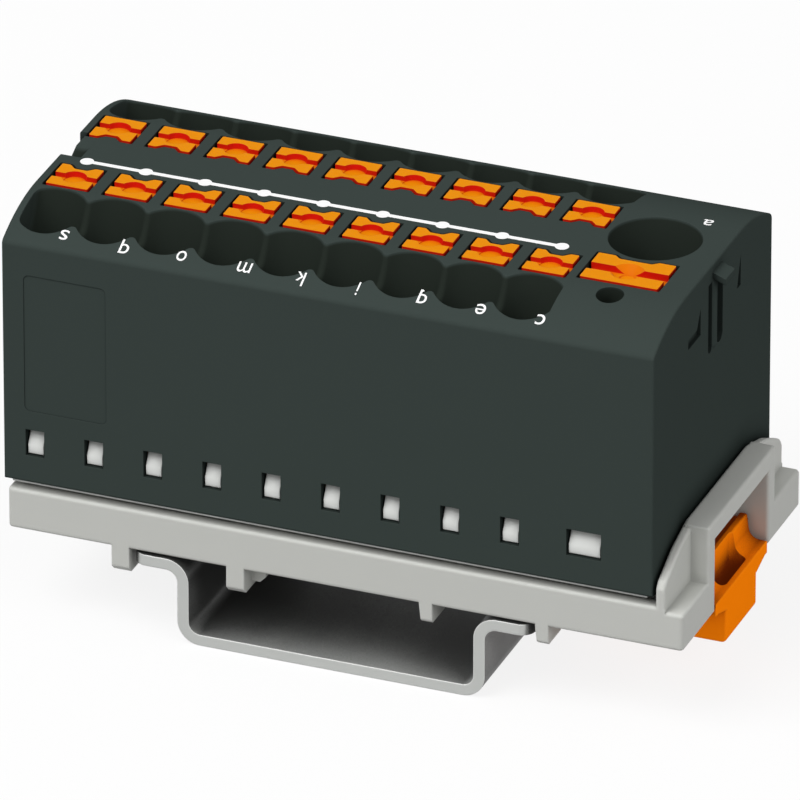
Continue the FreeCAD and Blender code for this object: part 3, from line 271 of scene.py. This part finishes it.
def make_edge_group():
    """Normal that runs round every edge, and a mask that is 1 on those edges and 0 on open faces."""
    tree, taken, given = new_group("soft_edges", [("Radius", FLOAT, 0.00015), ("Contrast", FLOAT, 6.0)],
                                   [("Mask", FLOAT), ("Normal", DIRECTION)])
    # The mask marks where a painted highlight lightens the edges; the normal rounds them in the light.
    rounded = tree.nodes.new("ShaderNodeBevel")
    rounded.samples = 6
    link(tree, taken.outputs["Radius"], rounded.inputs["Radius"])
    flat = tree.nodes.new("ShaderNodeNewGeometry")
    likeness = tree.nodes.new("ShaderNodeVectorMath")
    likeness.operation = "DOT_PRODUCT"
    link(tree, rounded.outputs["Normal"], likeness.inputs[0])
    link(tree, flat.outputs["Normal"], likeness.inputs[1])
    turned = math_node(tree, "SUBTRACT", 1.0, likeness.outputs["Value"])
    mask = math_node(tree, "MULTIPLY", turned, taken.outputs["Contrast"], clamp=True)
    link(tree, mask, given.inputs["Mask"])
    link(tree, rounded.outputs["Normal"], given.inputs["Normal"])
    return tree


def make_facing_group():
    """Two masks: Up is 1 where a face looks up, Across where it looks along the rail."""
    tree, _, given = new_group("facing", [], [("Up", FLOAT), ("Across", FLOAT)])
    place = tree.nodes.new("ShaderNodeTexCoord")
    split = tree.nodes.new("ShaderNodeSeparateXYZ")
    link(tree, place.outputs["Normal"], split.inputs[0])
    across = math_node(tree, "ABSOLUTE", split.outputs["Y"], 0.0)
    link(tree, ramp_node(tree, split.outputs["Z"], 0.35, 0.95), given.inputs["Up"])
    link(tree, ramp_node(tree, across, 0.8, 0.95), given.inputs["Across"])
    return tree


def make_recess_group():
    """Mask that is 0 on open faces and rises to 1 deep in a recess of about the given depth."""
    tree, taken, given = new_group(
        "recess",
        [("Depth", FLOAT, 0.004), ("Open", FLOAT, 0.95), ("Closed", FLOAT, 0.5)],
        [("Mask", FLOAT)])
    # Ambient occlusion finds the recesses; the finishes paint them darker as shade.
    openness = tree.nodes.new("ShaderNodeAmbientOcclusion")
    openness.samples = 8
    link(tree, taken.outputs["Depth"], openness.inputs["Distance"])
    mask = ramp_node(tree, openness.outputs["AO"], taken.outputs["Open"], taken.outputs["Closed"])
    link(tree, mask, given.inputs["Mask"])
    return tree


def make_well_group():
    """Mask that is 1 in the funnels and wells of the housing, 0 on its outer faces."""
    # The mask marks where the housing is painted darker as shade.
    tree, _, given = new_group("well", [], [("Mask", FLOAT)])
    place = tree.nodes.new("ShaderNodeTexCoord")
    split = tree.nodes.new("ShaderNodeSeparateXYZ")
    link(tree, place.outputs["Object"], split.inputs[0])
    x, y, z = (split.outputs[axis] for axis in "XYZ")
    along = math_node(tree, "ABSOLUTE", math_node(tree, "SUBTRACT", x, HOUSING_MIDDLE_X * MM), 0.0)
    deep = math_node(tree, "ABSOLUTE", y, 0.0)
    beyond = math_node(tree, "MAXIMUM", math_node(tree, "SUBTRACT", deep, TOP_EDGE_Y * MM), 0.0)
    fall = math_node(tree, "SUBTRACT", (SHOULDER_R * MM) ** 2, math_node(tree, "MULTIPLY", beyond, beyond))
    top = math_node(tree, "ADD", math_node(tree, "SQRT", fall, 0.0), (TOP_Z - SHOULDER_R) * MM)
    mask = 1.0
    for value, (low, high) in (
            (math_node(tree, "SUBTRACT", top, z), BELOW_TOP),
            (math_node(tree, "SUBTRACT", HOUSING_HALF_LENGTH * MM, along), INSIDE_WALL),
            (math_node(tree, "SUBTRACT", HOUSING_HALF_DEPTH * MM, deep), INSIDE_WALL)):
        mask = math_node(tree, "MULTIPLY", ramp_node(tree, value, low * MM, high * MM), mask)
    link(tree, mask, given.inputs["Mask"])
    return tree


SKIN = make_skin_group()
EDGE = make_edge_group()
FACING = make_facing_group()
RECESS_SHADE = make_recess_group()
WELL_SHADE = make_well_group()
print("groups", [tree.name for tree in bpy.data.node_groups])

# %% [markdown]
# ## One recipe for every surface
# Plastics and metals differ in colour, gloss and grain, but they are built alike: a mottled skin, a painted
# shade colour on upright faces, edges lightened as a painted highlight, and recesses and wells darkened as
# painted shade. One function chains the groups, and each finish below is one call with its own numbers.
# Colours are written as 0 to 255.

# %% Recipe for a finish
GRAIN_HEIGHT = 0.02


def rgb(red, green, blue):
    """Light values of a colour written as 0 to 255."""
    def value(level):
        share = level / 255
        return share / 12.92 if share <= 0.04045 else ((share + 0.055) / 1.055) ** 2.4
    return (value(red), value(green), value(blue), 1.0)


def place_group(tree, group, **values):
    """A node that holds the group, with its constant inputs set by name."""
    node = tree.nodes.new("ShaderNodeGroup")
    node.node_tree = group
    for name, value in values.items():
        node.inputs[name.replace("_", " ")].default_value = value
    return node


def mix_colours(tree, share, first, second):
    """First colour where the share is 0, second where it is 1; a colour is a socket or plain values."""
    node = tree.nodes.new("ShaderNodeMix")
    node.data_type = "RGBA"
    link(tree, share, node.inputs["Factor"])
    for name, colour in (("A", first), ("B", second)):
        if isinstance(colour, tuple):
            node.inputs[name].default_value = colour
        else:
            link(tree, colour, node.inputs[name])
    return node.outputs["Result"]


def finish(name, colour, roughness, specular=0.35, metallic=0.0, mottle=0.03, mottle_scale=160.0, grain=0.05,
           edge_highlight_colour=None, edge_highlight_share=0.5, edge_radius=0.15, upright_shade_colour=None,
           recess_shade_colour=(0.0, 0.0, 0.0, 1.0), recess_shade_share=0.5, recess_depth=4.0, cut_ends=False,
           well_shade_colour=None, glow=0.0):
    """A surface: mottled colour, painted shade on upright faces and recesses, painted edge highlights, fine
    grain.

    With cut_ends, faces that look along the rail get no painted shade, so their edges take the painted
    highlight in full. A well colour paints the housing's funnels and wells darker as shade. A glow gives
    back some light in the surface's own colour: a painted glow, though the surface is no lamp.
    """
    material, tree, shader = node_tree(name)
    skin = place_group(tree, SKIN, Mottle=mottle, Mottle_scale=mottle_scale, Roughness=roughness,
                       Roughness_spread=2 * mottle)
    facing = place_group(tree, FACING)
    # Upright faces take another colour: painted shade on their sides.
    if upright_shade_colour:
        link(tree, mix_colours(tree, facing.outputs["Up"], upright_shade_colour, colour), skin.inputs["Colour"])
    else:
        skin.inputs["Colour"].default_value = colour
    edge = place_group(tree, EDGE, Radius=edge_radius * MM)
    recess = place_group(tree, RECESS_SHADE, Depth=recess_depth * MM)
    shaded = recess.outputs["Mask"]
    # Faces that look along the rail get no painted shade, so their edges take the painted highlight in full.
    if cut_ends:
        shaded = math_node(tree, "SUBTRACT", shaded, facing.outputs["Across"], clamp=True)
    shown = skin.outputs["Colour"]
    # Edges are lightened towards the edge colour: a painted highlight.
    if edge_highlight_colour:
        open_share = math_node(tree, "SUBTRACT", edge_highlight_share, shaded, clamp=True)
        share = math_node(tree, "MULTIPLY", edge.outputs["Mask"], open_share)
        shown = mix_colours(tree, share, shown, edge_highlight_colour)
    # Recesses are darkened towards the recess colour: painted shade.
    share = math_node(tree, "MULTIPLY", shaded, recess_shade_share)
    shown = mix_colours(tree, share, shown, recess_shade_colour)
    # The housing's funnels and wells take a darker colour: painted shade.
    if well_shade_colour:
        well = place_group(tree, WELL_SHADE)
        shown = mix_colours(tree, well.outputs["Mask"], shown, well_shade_colour)
    link(tree, shown, shader.inputs["Base Color"])
    # A glow makes the surface give out light in its own colour: painted light, though it is no lamp.
    if glow:
        link(tree, shown, shader.inputs["Emission Color"])
        shader.inputs["Emission Strength"].default_value = glow
    link(tree, skin.outputs["Roughness"], shader.inputs["Roughness"])
    bump = tree.nodes.new("ShaderNodeBump")
    bump.inputs["Strength"].default_value = grain
    bump.inputs["Distance"].default_value = GRAIN_HEIGHT * MM
    link(tree, skin.outputs["Height"], bump.inputs["Height"])
    link(tree, edge.outputs["Normal"], bump.inputs["Normal"])
    link(tree, bump.outputs["Normal"], shader.inputs["Normal"])
    shader.inputs["Specular IOR Level"].default_value = specular
    shader.inputs["Metallic"].default_value = metallic
    return material


# %% [markdown]
# ## The plastics
# The housing is a satin green-grey, its funnels painted darker as shade. The foot and the carrier are a pale
# grey with edges painted lighter as a highlight. The buttons are orange on their pressed faces, with their
# upright sides painted a deep red as shade. The latch is orange with a painted glow. Print is matt white
# with a faint painted glow.

# %% Plastics
# Edge colours below are painted highlights; recess, well and upright colours are painted shade; a glow is
# painted light.
HOUSING_PLASTIC = finish("housing_satin", rgb(62, 71, 68), 0.6, specular=0.0, edge_highlight_colour=rgb(76, 84, 82),
                         edge_highlight_share=0.35, edge_radius=0.1, recess_shade_share=0.5, recess_depth=2.5,
                         well_shade_colour=rgb(41, 47, 42))
GREY_PLASTIC = finish("foot_grey", rgb(208, 209, 204), 0.45, specular=0.15, edge_highlight_colour=rgb(240, 241, 237),
                      edge_highlight_share=0.7, edge_radius=0.3, recess_shade_share=0.2, recess_depth=1.0)
CARRIER_PLASTIC = finish("carrier_grey", rgb(226, 228, 225), 0.5, specular=0.15,
                         edge_highlight_colour=rgb(240, 242, 239), recess_depth=0.8, recess_shade_share=0.3)
BUTTON_PLASTIC = finish("button_orange", rgb(238, 146, 6), 0.4, specular=0.02, edge_highlight_colour=rgb(252, 170, 80),
                        edge_highlight_share=0.5, edge_radius=0.06, upright_shade_colour=rgb(206, 18, 14), recess_shade_share=0.6,
                        recess_shade_colour=rgb(205, 40, 12), recess_depth=1.0)
LATCH_PLASTIC = finish("latch_orange", rgb(248, 128, 8), 0.45, specular=0.0, edge_highlight_colour=rgb(255, 150, 40),
                       edge_highlight_share=0.5, edge_radius=0.2, recess_shade_share=0.92, recess_depth=3.0,
                       recess_shade_colour=rgb(80, 16, 8), glow=0.3)
PRINT_WHITE = finish("print_white", rgb(255, 255, 255), 0.6, specular=0.0, mottle=0.01, edge_radius=0.01,
                     recess_shade_share=0.0, glow=0.04)
print("plastics", [m.name for m in bpy.data.materials if "_" in m.name])

# %% [markdown]
# ## The metals
# The rail is zinc-plated sheet: pale, half matt, with a cloudy crystal pattern, painted dark as shade below
# the block and lighter as a highlight on its edges. The busbar is bare copper and the springs are bright
# steel, both painted darker in their recesses as shade. They show only through the funnels and from below.

# %% Metals
# The rail's edge colour is a painted highlight and its recess colour painted shade under the block.
RAIL_ZINC = finish("rail_zinc", rgb(201, 203, 200), 0.42, specular=0.4, metallic=0.2, mottle=0.06,
                   mottle_scale=420.0, grain=0.05, edge_highlight_colour=rgb(255, 255, 253), edge_highlight_share=0.8,
                   edge_radius=0.2, recess_shade_share=0.92, recess_depth=12.0, recess_shade_colour=rgb(26, 26, 26),
                   cut_ends=True)
# Copper and steel keep the default painted shade in their recesses.
BARE_COPPER = finish("bare_copper", rgb(205, 140, 100), 0.3, metallic=1.0, mottle=0.1, mottle_scale=260.0)
SPRING_STEEL = finish("spring_bright", rgb(200, 201, 204), 0.25, metallic=1.0, mottle=0.06,
                      mottle_scale=600.0)
print("metals", RAIL_ZINC.name, BARE_COPPER.name, SPRING_STEEL.name)

# %% [markdown]
# ## Tools for finishing a piece
# The moulded shells already have the right shape in the frame, rounded edges included, so the quickest
# honest way is to copy a node's mesh, weld its loose triangles and smooth it where it curves. Modelling
# them again would only risk a shape that no longer fits its neighbours.

# %% Finishing tools
WELD = 0.002
SMOOTH_ANGLE = math.radians(32)


def activate(piece):
    deselect_all()
    piece.select_set(True)
    bpy.context.view_layer.objects.active = piece


def apply_modifier(piece, kind, **settings):
    """Adds a modifier, sets its values and applies it."""
    activate(piece)
    modifier = piece.modifiers.new(kind.lower(), kind)
    for key, value in settings.items():
        setattr(modifier, key, value)
    bpy.ops.object.modifier_apply(modifier=modifier.name)


def welded_copy(node, name):
    """A node's mesh in millimetres, with its loose triangles welded."""
    piece = bpy.data.objects.new(name, frame["nodes"][node].data.copy())
    scene.collection.objects.link(piece)
    piece.data.transform(Matrix.Scale(1 / MM, 4))
    activate(piece)
    bpy.ops.object.mode_set(mode="EDIT")
    bpy.ops.mesh.select_all(action="SELECT")
    bpy.ops.mesh.customdata_custom_splitnormals_clear()
    bpy.ops.mesh.remove_doubles(threshold=WELD)
    bpy.ops.object.mode_set(mode="OBJECT")
    return piece


def finish_piece(piece, material, body, nodes=()):
    """Shrinks a piece to metres and hands it to its body, its finish and the nodes that it stands for."""
    piece.data.materials.clear()
    piece.data.materials.append(material)
    activate(piece)
    bpy.ops.object.shade_smooth_by_angle(angle=SMOOTH_ANGLE)
    apply_modifier(piece, "WEIGHTED_NORMAL", keep_sharp=True)
    piece.data.transform(Matrix.Scale(MM, 4))
    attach(piece, body)
    if nodes:
        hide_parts(*nodes)
    print(piece.name, len(piece.data.polygons), "faces")


# %% [markdown]
# ## The shells
# Housing, carrier, foot and latch are injection moulded, and a mould never leaves a knife edge. The wide
# roundings are in the mesh; the finishes round the last tenth of a millimetre in the light alone.

# %% Housing, carrier, foot, latch, rail
for node, name, material, body, slot in (
        ("housing", "housing_shell", HOUSING_PLASTIC, "block", "housing_plastic"),
        ("contact_carrier", "carrier_with_hooks", CARRIER_PLASTIC, "block", "carrier_plastic"),
        ("din_adapter", "foot_with_teeth", GREY_PLASTIC, "block", "adapter_plastic"),
        ("foot_latch", "latch_with_lip", LATCH_PLASTIC, "latch", "latch_plastic"),
        ("mounting_rail", "rail_sheet", RAIL_ZINC, "rail", "rail_steel")):
    finish_piece(welded_copy(node, name), material, body, [node])

# %% [markdown]
# ## The buttons
# Each button is a waisted block with a groove and a dimple for a screwdriver's tip. The eighteen small ones
# are copies of their nodes, and so is the large one at the infeed, whose dimple is a wide bowl.

# %% Buttons
CONTACTS = 9

for row in ("front", "rear"):
    for number in range(1, CONTACTS + 1):
        node = f"button_{row}_{number}"
        finish_piece(welded_copy(node, f"head_{row}_{number}"), BUTTON_PLASTIC, f"{row}_button_{number}",
                     [node])

finish_piece(welded_copy("button_infeed", "head_infeed"), BUTTON_PLASTIC, "infeed_button",
             ["button_infeed"])

# %% [markdown]
# ## The print
# A white line with nine dots joins the outgoing contacts, and each contact has a small letter in front of
# its funnel, upside down as seen from here. The line and dots are thin solids on the level top, their rims
# softened as wet ink's are. A letter is a text turned into a mesh, drawn to its size, laid point by point on
# the arc of the shoulder and given a little thickness. LETTERS holds each one's middle, width and height.

# %% Print
FIRST_DOT_X = -26.11
PITCH = 5.2
LINE_Y = -1.7
LINE_WIDTH = 0.46
DOT_R = 0.58
DOT_SIDES = 48
INK = 0.03
DOT_INK = 0.036
RIM = 0.01
LETTERS = {
    "s": (-23.80, -12.26, 0.72, 0.94), "q": (-18.42, -12.33, 0.81, 1.30), "o": (-13.50, -12.25, 0.82, 0.96),
    "m": (-8.00, -12.25, 1.18, 0.96), "k": (-3.12, -12.38, 0.77, 1.29), "i": (1.91, -12.33, 0.16, 1.24),
    "g": (7.42, -11.99, 0.78, 1.32), "e": (12.49, -12.18, 0.86, 0.97), "c": (17.64, -12.16, 0.76, 0.97),
    "a": (25.00, 6.60, 0.85, 1.00)}
line_length = (CONTACTS - 1) * PITCH

deselect_all()
bpy.ops.mesh.primitive_cube_add(size=1, location=(FIRST_DOT_X + line_length / 2, LINE_Y, TOP_Z + INK / 2))
line = bpy.context.object
line.name = "print_line"
bpy.ops.transform.resize(value=(line_length, LINE_WIDTH, INK))
bpy.ops.object.transform_apply(location=True, rotation=True, scale=True)
apply_modifier(line, "BEVEL", width=RIM, segments=2)

deselect_all()
bpy.ops.mesh.primitive_cylinder_add(vertices=DOT_SIDES, radius=DOT_R, depth=DOT_INK,
                                    location=(FIRST_DOT_X, LINE_Y, TOP_Z + DOT_INK / 2))
first_dot = bpy.context.object
bpy.ops.object.transform_apply(location=True, rotation=True, scale=True)
apply_modifier(first_dot, "BEVEL", width=RIM, segments=2, limit_method="ANGLE")
dots = [first_dot]
for i in range(1, CONTACTS):
    dot = first_dot.copy()
    dot.data = first_dot.data.copy()
    dot.data.transform(Matrix.Translation((i * PITCH, 0, 0)))
    scene.collection.objects.link(dot)
    dots.append(dot)
activate(line)
for dot in dots:
    dot.select_set(True)
bpy.ops.object.join()
finish_piece(line, PRINT_WHITE, "block")


def top_height(y):
    """Height of the housing's top at a depth: level in the middle, an arc on the shoulders."""
    beyond = max(0.0, abs(y) - TOP_EDGE_Y)
    return TOP_Z - SHOULDER_R + math.sqrt(SHOULDER_R ** 2 - beyond ** 2)


def glyph(character):
    """A character as a mesh, its right edge on the origin's line."""
    deselect_all()
    bpy.ops.object.text_add()
    bpy.context.object.data.body = character
    bpy.ops.object.convert(target="MESH")
    piece = bpy.context.object
    right = max(vertex.co.x for vertex in piece.data.vertices)
    piece.data.transform(Matrix.Translation((-right, 0, 0)))
    return piece


def open_tailed_g():
    """The printed g has one bowl and an open tail: a q over the lower part of a j."""
    bowl, tail = glyph("q"), glyph("j")
    bowl_top = max(vertex.co.y for vertex in bowl.data.vertices)
    activate(tail)
    bpy.ops.object.mode_set(mode="EDIT")
    bpy.ops.mesh.select_all(action="DESELECT")
    bpy.ops.object.mode_set(mode="OBJECT")
    for vertex in tail.data.vertices:
        vertex.select = vertex.co.y > bowl_top
    bpy.ops.object.mode_set(mode="EDIT")
    bpy.ops.mesh.delete(type="VERT")
    bpy.ops.object.mode_set(mode="OBJECT")
    activate(bowl)
    tail.select_set(True)
    bpy.ops.object.join()
    return bowl


def letter(character, x, y, width, height):
    """One printed letter, upside down, its middle at a place on the housing seen from above."""
    piece = open_tailed_g() if character == "g" else glyph(character)
    piece.name = f"print_{character}"
    activate(piece)
    bpy.ops.object.origin_set(type="ORIGIN_GEOMETRY", center="BOUNDS")
    bpy.ops.transform.resize(value=(width / piece.dimensions.x, height / piece.dimensions.y, 1.0))
    piece.location = (x, y, 0.0)
    piece.rotation_euler.z = math.pi
    bpy.ops.object.transform_apply(location=True, rotation=True, scale=True)
    for vertex in piece.data.vertices:
        vertex.co.z = top_height(vertex.co.y) + INK
    apply_modifier(piece, "SOLIDIFY", thickness=INK, offset=0.0)
    return piece


for character, box in LETTERS.items():
    finish_piece(letter(character, *box), PRINT_WHITE, "block")

# %% [markdown]
# ## The springs
# A pressed button pushes the spring below it down, and a pulled latch closes the spring behind it, so each
# spring flattens towards its fixed end, the place where it is touched moving as far as its joint travels.
# The construction says which joint moves which spring and where the spring is held; here each such spring
# is only copied, welded, finished in bright steel and given its own mesh. The copper busbar never moves: it
# keeps its own mesh and only takes a finish.

for joint in frame["record"]["behaviour"]["joints"]:
    for spring in joint.get("deforming_nodes", []):
        piece = welded_copy(spring["node"], f"leaf_{spring['node']}")
        finish_piece(piece, SPRING_STEEL, "block", [spring["node"]])
        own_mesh(piece)

busbar = frame["nodes"]["busbar"]
busbar.data.materials.clear()
busbar.data.materials.append(BARE_COPPER)
print("busbar and springs finished")
